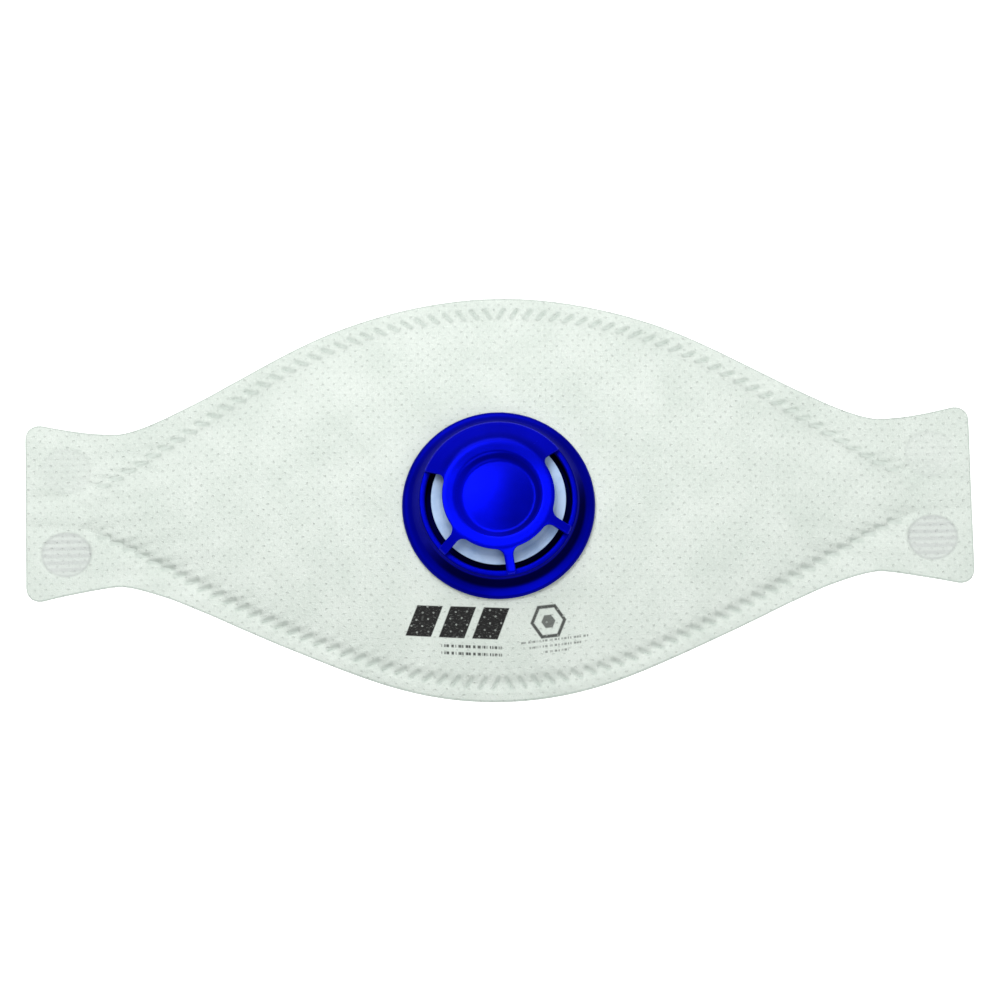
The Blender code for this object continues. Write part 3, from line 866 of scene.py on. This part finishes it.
def built(name, mesh, tree, values):
    """The plain mesh that a node tree makes of a starting mesh; values are set by input name."""
    holder = link(bpy.data.objects.new(name, mesh))
    step = holder.modifiers.new(name, "NODES")
    step.node_group = tree
    for item in tree.interface.items_tree:
        if item.in_out == "INPUT" and item.name in values:
            step[item.identifier] = values[item.name]
    bpy.context.view_layer.update()
    seen = holder.evaluated_get(bpy.context.evaluated_depsgraph_get())
    result = bpy.data.meshes.new_from_object(seen)
    bpy.data.objects.remove(holder)
    return link(bpy.data.objects.new(name, result))


def node_tree(name, inputs):
    """A new geometry tree with named inputs, its graph, and the wires of those inputs."""
    tree = bpy.data.node_groups.new(name, "GeometryNodeTree")
    tree.interface.new_socket("Geometry", in_out="OUTPUT", socket_type="NodeSocketGeometry")
    for label, kind in inputs.items():
        tree.interface.new_socket(label, in_out="INPUT", socket_type="NodeSocket" + kind)
    graph = Graph(tree)
    start = tree.nodes.new("NodeGroupInput")
    return tree, graph, {label: Wire(graph, start.outputs[label]) for label in inputs}


def scatter(graph, points, instance, turn, material, **more):
    """Ends a tree with an instance at each point, turned about Z, made real and given its look."""
    inputs = {"Points": points, "Instance": instance, "Rotation": graph.join(0.0, 0.0, turn)}
    placed_there = graph.add("GeometryNodeInstanceOnPoints", {**inputs, **more})
    real = graph.add("GeometryNodeRealizeInstances", {0: placed_there})
    real = graph.add("GeometryNodeSetMaterial", {"Geometry": real, "Material": material})
    end = graph.tree.nodes.new("NodeGroupOutput")
    graph.tree.links.new(real.socket, end.inputs[0])


def weld_places():
    """Middles of all the seam welds, and the way each one points."""
    places = (np.arange(WELD_HALF) + 0.5) * WELD_PITCH
    wx, wy = np.interp(places, SEAM_S, SEAM_X), np.interp(places, SEAM_S, SEAM_Y)
    tx, ty = np.interp(places, SEAM_S, SEAM_TX), np.interp(places, SEAM_S, SEAM_TY)
    slant = weld_slant(places)
    ux = np.sin(slant) * ty - np.cos(slant) * tx
    uy = -np.sin(slant) * tx - np.cos(slant) * ty
    points, turns = [], []
    for side_x in (-1, 1):
        for side_y in (-1, 1):
            x, y = side_x * wx, side_y * wy
            along, across = seam_place(x, y)
            lifted = weld_mask(along, across) * (1 - spot_mask(x, y))
            z = face_height(x, y) + WELD_DEPTH * lifted - WELD_DEPTH
            points.append(np.stack([x, y, z], -1))
            turns.append(np.arctan2(side_y * uy, side_x * ux))
    return np.concatenate(points), np.concatenate(turns)


def weld_films():
    """A thin fused film at the bottom of every seam weld, set there by a node tree."""
    inputs = {"Seam": "Geometry", "Length": "Float", "Width": "Float", "Thickness": "Float"}
    tree, g, given = node_tree("weld_films", inputs)
    size = g.join(given["Length"], given["Width"], given["Thickness"])
    film = g.add("GeometryNodeMeshUVSphere", {"Segments": 14, "Rings": 6, "Radius": 0.5})
    turn = g.add("GeometryNodeInputNamedAttribute", {"Name": "turn"}, data_type="FLOAT")
    scatter(g, given["Seam"], film, turn, FILM_AND_SHADE, Scale=size)
    points, turns = weld_places()
    mesh = bpy.data.meshes.new("weld_films")
    mesh.from_pydata(points.tolist(), [], [])
    stored = mesh.attributes.new("turn", "FLOAT", "POINT")
    stored.data.foreach_set("value", turns.astype(np.float32))
    values = {"Length": WELD_LENGTH * 0.72, "Width": WELD_WIDTH * 0.55, "Thickness": 0.14 * MM}
    obj = built("weld_films", mesh, tree, values)
    obj.data.shade_smooth()
    finished(obj, "mask_body", "cover_cloth", FILM_AND_SHADE)


# Folded panels

BODY_OF = {1: "upper_panel", -1: "lower_panel"}
# The strips that a panel is cut into along X: where each ends.
STRIP_ENDS = (10 * MM, 40 * MM, NECK_X)
STRIP_WORDS = {1: "inner", 2: "outer"}


def swing(obj):
    """Bakes a strip's placement into its mesh."""
    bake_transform(obj)


def strips(reach, step):
    """Each strip's number, its word, and its places along X, out to reach."""
    first, second, _ = STRIP_ENDS
    found = [(0, "middle", spaced(-first, first, step))]
    for level, low, high in ((1, first, min(second, reach)), (2, second, reach)):
        if high > low:
            xs = spaced(low, high, step)
            found.append((level, STRIP_WORDS[level] + "_right", xs))
            found.append((-level, STRIP_WORDS[level] + "_left", -xs[::-1]))
    return found


def back_height(x, y):
    """Height of the folded panels' back face."""
    along, across = seam_place(x, y)
    spot = spot_mask(x, y)
    z = PANEL_LOW[2] - 0.12 * MM * ear_share(x)
    press = 0.12 * MM * hump(across, 0, 1.2) + 0.25 * MM * weld_mask(along, across)
    return z + press * (1 - spot) + 0.12 * MM * spot


def folded_panel(side, name):
    """Cloth, filter and lining of one folded panel, each in five strips."""
    body = BODY_OF[side]
    t_cover = PANEL_HIGH[2] - PANEL_LOW[2]
    cloth_reach = HALF_LENGTH - 0.5 * MM
    layers = (
        ("cloth", "outer_cover", "cover_cloth", PANEL_CLOTH, cloth_reach, 0.6 * MM, t_cover),
        ("filter", "filter", "filter_cloth", WADDING, LAYER_REACH, 3 * MM, 0.5 * MM),
        ("lining", "inner_cover", "lining_cloth", LINING_CLOTH, LAYER_REACH, 2 * MM, 0.3 * MM),
    )
    for layer, end, slot, material, reach, step, thickness in layers:
        node = f"{body}_{end}"
        for strip, word, xs in strips(reach, step):
            if layer == "cloth":
                edge = outline(xs) - 0.25 * MM
                share = np.concatenate([np.linspace(0, 0.72, 16)[:-1], np.linspace(0.72, 1, 16)])
            else:
                edge = seam(xs) - LAYER_INSET
                share = np.linspace(0, 1, 12)
            y = FREE_EDGE + share[:, None] * (edge - FREE_EDGE)[None, :]
            x = np.tile(xs, (len(share), 1))
            if layer == "cloth":
                bottom = back_height(x, y)
            else:
                bottom = np.full_like(x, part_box(node)[0][2])
            top = bottom + thickness
            if side < 0:
                x, y, top, bottom = x[::-1], -y[::-1], top[::-1], bottom[::-1]
            obj = sheet_solid(f"{name}_{layer}_{word}", x, y, top, bottom)
            finished(obj, None, slot, material, node)
            swing(obj)


def slab(name, low, high, xs, corner, rows):
    """A thin bar between two corners, its long edges rounded and its outer ends too."""
    share = np.linspace(0, math.pi, rows)[:, None]
    away = np.clip((np.abs(xs) - (high[0] - corner)) / corner, 0, 1)
    narrow = 1 - (1 - np.sqrt(np.clip(1 - away**2, 0.01, 1))) * 0.5
    y = (low[1] + high[1]) / 2 - (high[1] - low[1]) / 2 * np.cos(share) * narrow
    x = np.tile(xs, (rows, 1))
    half = (high[2] - low[2]) / 2 * (0.35 + 0.65 * np.sin(share) ** 0.35) + 0 * x
    centre = (low[2] + high[2]) / 2
    return sheet_solid(name, x, y, centre + half, centre - half)


def nose_pieces():
    """The clip and the foam across the nose, in strips."""
    kinds = (
        ("nose_strip", "nose_clip", ALUMINIUM, 1.6 * MM, 9),
        ("nose_cushion", "nose_foam", FOAM, 2.5 * MM, 15),
    )
    for name, node, material, corner, rows in kinds:
        low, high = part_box(node)
        for strip, word, xs in strips(high[0], 1.5 * MM):
            obj = slab(f"{name}_{word}", low, high, xs, corner, rows)
            finished(obj, None, node, material, node)
            swing(obj)


def head_strap(name, node):
    """Ribbed elastic in two halves that meet at the middle."""
    low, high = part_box(node)
    middle_y, centre = (low[1] + high[1]) / 2, (low[2] + high[2]) / 2
    share = np.linspace(-1, 1, 43)[:, None]
    ribs = np.abs(np.cos(math.pi * share * 3))
    edge = np.sqrt(np.clip(1 - np.abs(share) ** 12, 0.0, 1))
    thick = (high[2] - low[2]) * (0.7 + 0.3 * ribs) * (0.35 + 0.65 * edge)
    for half, word in ((-1, "left"), (1, "right")):
        xs = spaced(0, high[0], 1.0 * MM)[::half] * half
        x = np.tile(xs, (len(share), 1))
        y = middle_y + share * (high[1] - low[1]) / 2 + 0 * x
        up = thick / 2 + 0 * x
        obj = sheet_solid(f"{name}_{word}", x, y, centre + up, centre - up)
        finished(obj, None, "elastic", ELASTIC, node)
        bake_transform(obj)


# Valve

VALVE_TWIST = math.radians(8.3)
CAP_H = 9.7 * MM
VALVE_Z = CAP_TOP - CAP_H
VALVE = Matrix.Translation((VALVE_X, VALVE_Y, VALVE_Z)) @ Matrix.Rotation(VALVE_TWIST, 4, "Z")
RIM_Z = 5.7 * MM
RIM_R = 17.4 * MM
RIM_INNER_R = 16.1 * MM
SEAT_R = 14.0 * MM
SEAT_INNER_R = 12.6 * MM
SEAT_TOP = 4.9 * MM
SPIGOT_Z = RING_LOW[2] - VALVE_Z
PEG_R = 0.55 * MM
PEG_X = 5.5 * MM
PEG_H = 1.5 * MM
CAP_EDGE_R = 12.7 * MM
CAP_T = 1.0 * MM
LEG_W = 2.1 * MM
LEG_FILLET = 2.0 * MM
LEG_STEP = math.radians(55)
BRIDGE_HALF = math.radians(60)
FOOT_Z = RIM_Z + 0.3 * MM
LIP = 0.28 * MM  # radius of the cap's rounded edges
FLAP_HOLLOW = 0.08 * MM
DISH_R = 9.0 * MM
DISH_FLOOR_R = 7.9 * MM  # the dish's wall rises from here
DISH_WALL = 1.9 * MM
DISH_DEPTH = 1.6 * MM
DISH_DOME = 0.8 * MM  # its floor is that much higher in the middle


def valve_piece(obj, node, body="mask_body", slot="valve_plastic", material=BLUE):
    """Moves a piece made around the origin to its place in the valve, and finishes it."""
    finished(placed(obj, VALVE), body, slot, material, node)


def valve_body():
    """Flange, conical wall, rim and seat in one turned piece."""
    corners = [
        (SEAT_R, SPIGOT_Z),
        (SEAT_INNER_R, SPIGOT_Z),
        (SEAT_INNER_R, SEAT_TOP),
        (SEAT_R, SEAT_TOP),
        (SEAT_R, 1.2 * MM),
        (RIM_INNER_R, 1.2 * MM),
        (RIM_INNER_R, RIM_Z),
        (RIM_R, RIM_Z),
        (RIM_R + 0.05 * MM, RIM_Z - 0.9 * MM),
        (19.0 * MM, 1.9 * MM),
        (19.9 * MM, 1.35 * MM),
        (FLANGE_R - 0.3 * MM, 1.0 * MM),
        (FLANGE_R, 0.3 * MM),
        (FLANGE_R, 0.0),
        (SEAT_R, 0.0),
    ]
    loop = rounded([corners[-1], *corners, corners[0]], 0.35 * MM, 4)[1:-1]
    valve_piece(turned("valve_body", loop, 192), "valve_base")


def valve_spokes():
    """Crossed spokes under the flap, turned about the valve's middle by a node tree."""
    inputs = {"Middle": "Geometry", "Reach": "Float", "Width": "Float", "Height": "Float"}
    tree, g, given = node_tree("valve_spokes", inputs)
    size = g.join(given["Reach"] * 2.0, given["Width"], given["Height"])
    counts = {"Vertices X": 12, "Vertices Y": 4, "Vertices Z": 4}
    bar = g.add("GeometryNodeMeshCube", {"Size": size, **counts})
    angle = g.add("GeometryNodeInputIndex") * (math.pi / 2) + math.pi / 4
    scatter(g, given["Middle"], bar, angle, BLUE)
    mesh = bpy.data.meshes.new("valve_spokes")
    mesh.from_pydata([(0, 0, 0), (0, 0, 0)], [], [])
    values = {"Reach": SEAT_INNER_R + 0.3 * MM, "Width": 1.6 * MM, "Height": 1.7 * MM}
    obj = built("valve_spokes", mesh, tree, values)
    placed(obj, Matrix.Translation((0, 0, SEAT_TOP - 1.15 * MM)))
    valve_piece(obj, "valve_base")


def flap_pegs():
    """Two short pegs, hidden under the bridge, that hold the flap's upper edge."""
    low, high = SEAT_TOP - 0.5 * MM, SEAT_TOP + PEG_H
    corners = [(0.0, high), (PEG_R, high), (PEG_R, low), (0.0, low)]
    y = math.sqrt(((SEAT_R + SEAT_INNER_R) / 2) ** 2 - PEG_X**2)
    for x, word in ((-PEG_X, "left"), (PEG_X, "right")):
        peg = turned(f"flap_peg_{word}", rounded(corners, 0.25 * MM, 4), 32, closed=False)
        valve_piece(placed(peg, Matrix.Translation((x, y, 0))), "valve_base")


def cap_profile():
    """Places on the cap's outer face, as (way from the middle, radius, height)."""
    dish = []
    for r in np.arange(0, 10.0, 0.4) * MM:
        rise = float(ramp(r - DISH_FLOOR_R, 0, DISH_WALL / MM))
        drop = DISH_DEPTH - DISH_DOME * (1 - (r / DISH_R) ** 2)
        dish.append((r, CAP_H - drop * (1 - rise)))
    corners = [
        *dish,
        (12.2 * MM, CAP_H),
        (13.3 * MM, CAP_H - 0.45 * MM),
        (16.4 * MM, CAP_H - 2.25 * MM),
        (17.25 * MM, CAP_H - 2.6 * MM),
        (RIM_R, FOOT_Z),
    ]
    line = rounded(corners, 1.1 * MM, 6)
    way = [0.0]
    for (r0, z0), (r1, z1) in zip(line, line[1:]):
        flat, steep = abs(r1 - r0), abs(z1 - z0)
        way.append(way[-1] + (flat if flat >= steep else math.hypot(flat, steep)))
    line = np.array(line)
    return np.array(way), line[:, 0], line[:, 1]


CAP_WAY, CAP_R, CAP_Z = cap_profile()
CAP_REACH = float(CAP_WAY[-1])


def polar(radius, angle, centre=(0.0, 0.0)):
    return (centre[0] + radius * math.cos(angle), centre[1] + radius * math.sin(angle))


def arc(radius, first, last):
    """Points on a circle, going left from one point's direction to another's, without its ends."""
    begin, finish = (math.atan2(point[1], point[0]) for point in (first, last))
    span = (finish - begin) % (2 * math.pi)
    steps = max(2, int(span * radius / (0.5 * MM)))
    return [polar(radius, begin + span * i / steps) for i in range(1, steps)]


def slot_loop(start, start_half, end, end_half, grow):
    """A slot's open outline: straight beside its legs, round beside the disc."""
    disc = CAP_EDGE_R - grow
    fillet = LEG_FILLET + grow
    sides = []
    for angle, half, side in ((start, start_half - grow, 1), (end, end_half - grow, -1)):
        swing_in = math.asin((half + fillet) / (disc + fillet))
        centre = polar(disc + fillet, angle + side * swing_in)
        beside = angle - side * math.pi / 2
        inward = angle + side * swing_in + math.pi
        turn = (inward - beside + math.pi) % (2 * math.pi) - math.pi
        corner = [polar(fillet, beside + turn * i / 8, centre) for i in range(9)]
        out = polar(half, angle + side * math.pi / 2, polar(CAP_REACH + 2 * MM, angle))
        sides.append(np.linspace(out, corner[0], 12, endpoint=False).tolist() + corner)
    first, second = sides
    return first + arc(disc, first[-1], second[-1]) + second[::-1]


def carried_out(a, b, far):
    """The line from b through a, carried on to far from the middle."""
    a, b = Vector(a), Vector(b)
    way = (a - b).normalized()
    along = b.dot(way)
    return tuple(b + way * (math.sqrt(along**2 - b.length_squared + far**2) - along))


def inside_polygon(points, loop):
    """Whether each point is inside a closed outline."""
    px, py = points[:, 0], points[:, 1]
    found = np.zeros(len(points), bool)
    for (x0, y0), (x1, y1) in zip(loop, loop[1:] + loop[:1]):
        crosses = (y0 > py) != (y1 > py)
        at = x0 + (py - y0) * (x1 - x0) / (y1 - y0 if y1 != y0 else 1e-12)
        found ^= crosses & (px < at)
    return found


def cap_outline(grow):
    """The cap's outline seen from above, drawn in by grow from its true edge."""
    down = -math.pi / 2
    half = LEG_W / 2
    stops = (
        (down - math.pi + BRIDGE_HALF, 0.0),
        (down - LEG_STEP, half),
        (down, half),
        (down + LEG_STEP, half),
        (down + math.pi - BRIDGE_HALF, 0.0),
    )
    far = CAP_REACH - grow
    slots = []
    for first, last in zip(stops, stops[1:]):
        slot = slot_loop(*first, *last, grow)
        trimmed = [p for p in slot if math.hypot(*p) < far - 0.02 * MM]
        begin, end = carried_out(*slot[:2], far), carried_out(*slot[:-3:-1], far)
        slots.append([begin, *trimmed, end])
    points = []
    for slot, after in zip(slots, slots[1:] + slots[:1]):
        points += slot + arc(far, slot[-1], after[0])
    return points


def valve_cap():
    """The cap: one skin over disc, legs and bridge, with every edge softly rounded."""
    insets = (0.0, 0.07 * MM, 0.16 * MM, LIP)
    loops = [cap_outline(inset) for inset in insets]
    drops = [LIP - math.sqrt(LIP**2 - (LIP - inset) ** 2) for inset in insets]
    rings = []
    for radius in np.arange(0.4 * MM, CAP_REACH, 0.4 * MM):
        count = max(8, int(2 * math.pi * radius / (0.55 * MM)))
        rings += [polar(radius, 2 * math.pi * k / count) for k in range(count)]
    rings = np.array([(0.0, 0.0), *rings])
    rings = rings[inside_polygon(rings, cap_outline(LIP + 0.12 * MM))]
    points, edges, drop = [], [], []
    for loop, fall in zip(loops, drops):
        start = len(points)
        points += loop
        drop += [fall] * len(loop)
        edges += [(start + i, start + (i + 1) % len(loop)) for i in range(len(loop))]
    points += [tuple(p) for p in rings]
    drop += [0.0] * len(rings)
    made = delaunay_2d_cdt([Vector(p) for p in points], edges, [], 0, 1e-7)
    flat = np.array([tuple(v) for v in made[0]])
    fall = np.array([drop[origin[0]] if origin else 0.0 for origin in made[3]])
    middles = np.array([flat[list(f)].mean(0) for f in made[2]])
    faces = [f for f, ok in zip(made[2], inside_polygon(middles, loops[0])) if ok]
    way = np.hypot(flat[:, 0], flat[:, 1])
    angle = np.arctan2(flat[:, 1], flat[:, 0])
    apart = CAP_WAY + np.arange(len(CAP_WAY)) * 1e-9  # no two places the same
    across = (CAP_R, CAP_Z, np.gradient(CAP_R, apart), np.gradient(CAP_Z, apart))
    radius, height, slope_r, slope_z = (np.interp(way, CAP_WAY, values) for values in across)
    length = np.hypot(slope_r, slope_z)
    vertices = []
    for depth in (fall, CAP_T - fall):
        r = np.maximum(radius + slope_z / length * depth, 0)
        z = height - slope_r / length * depth
        vertices += np.stack([r * np.cos(angle), r * np.sin(angle), z], -1).tolist()
    sides = dict.fromkeys((a, b) for f in faces for a, b in zip(f, [*f[1:], f[0]]))
    count = len(flat)
    solid = [tuple(f) for f in faces]
    solid += [tuple(i + count for i in reversed(f)) for f in faces]
    solid += [(b, a, a + count, b + count) for a, b in sides if (b, a) not in sides]
    cap = cleaned(mesh_object("valve_cap", vertices, solid))
    valve_piece(shade(cap, 60), "valve_cover")


def valve_flap():
    """The thin flap with a slightly thicker rim."""
    low, high = FLAP_LOW[2] - VALVE_Z, FLAP_HIGH[2] - VALVE_Z
    corners = [
        (0.0, high - FLAP_HOLLOW),
        (12.4 * MM, high - FLAP_HOLLOW),
        (12.9 * MM, high),
        (FLAP_R, high),
        (FLAP_R, low),
        (0.0, low),
    ]
    flap = turned("valve_flap", rounded(corners, 0.16 * MM, 3), 160, closed=False)
    valve_piece(flap, "valve_diaphragm", "flap", "flap_silicone", SILICONE)


def clamp_ring():
    """The ring behind the mask that the valve's neck is pressed into."""
    low, high = RING_LOW[2] - VALVE_Z, RING_HIGH[2] - VALVE_Z
    corners = [(14.3 * MM, high), (RING_R, high), (RING_R, low), (14.3 * MM, low)]
    loop = rounded([corners[-1], *corners, corners[0]], 0.3 * MM, 4)[1:-1]
    ring = turned("clamp_ring", loop, 128)
    valve_piece(ring, "valve_back_ring", slot="ring_plastic", material=RING_PLASTIC)


# Stage


FLOOR_Z = -0.14
WORLD_STRENGTH = 0.36
LIGHTS = (  # name, place, side in metres, watts
    ("key", (-0.05, 0.27, 0.34), 0.28, 1.25),
    ("gloss", (-0.20, 0.36, 1.08), 0.40, 2.5),
    ("side", (-0.45, 0.31, 1.07), 0.50, 3.0),
    ("fill", (0.35, -0.6, 1.0), 0.9, 8.5),
)
SENSOR_MM = 36
CAMERA_AWAY = 1.6
VIEW_WIDTH = 0.2206
ELEVATION, ROLL = math.radians(75), math.radians(-1.33)
AIM = Vector((0.33 * MM, -0.34 * MM, 3 * MM))


def stage():
    """Floor, world, lights that the camera does not see, and the camera."""
    bpy.ops.mesh.primitive_plane_add(size=6, location=(0, 0, FLOOR_Z))
    floor = bpy.context.object
    floor.name = "floor"
    floor.data.materials.append(floor_finish())
    scene = bpy.context.scene
    scene.world = bpy.data.worlds.new("studio")
    scene.world.use_nodes = True
    background = scene.world.node_tree.nodes["Background"]
    background.inputs["Color"].default_value = (1, 1, 1, 1)
    background.inputs["Strength"].default_value = WORLD_STRENGTH
    for name, place, size, power in LIGHTS:
        data = bpy.data.lights.new(name, "AREA")
        data.size = size
        data.energy = power
        light = link(bpy.data.objects.new(name, data))
        light.location = place
        light.visible_camera = False
        light.rotation_euler = (-Vector(place)).to_track_quat("-Z", "Y").to_euler()
    camera_data = bpy.data.cameras.new("camera")
    camera_data.sensor_width = SENSOR_MM
    camera_data.lens = SENSOR_MM * CAMERA_AWAY / VIEW_WIDTH
    scene.camera = link(bpy.data.objects.new("camera", camera_data))
    away = Vector((0, -math.cos(ELEVATION), math.sin(ELEVATION)))
    scene.camera.location = AIM + away * CAMERA_AWAY
    turn = (-away).to_track_quat("-Z", "Y").to_matrix().to_4x4()
    scene.camera.rotation_euler = (turn @ Matrix.Rotation(ROLL, 4, "Z")).to_euler()
    scene.view_settings.view_transform = "Standard"


stage()
front_cover()
centre_layers()
weld_films()
folded_panel(1, "upper")
folded_panel(-1, "lower")
nose_pieces()
head_strap("upper_elastic", "upper_head_strap")
head_strap("lower_elastic", "lower_head_strap")
valve_body()
valve_spokes()
flap_pegs()
valve_cap()
valve_flap()
clamp_ring()
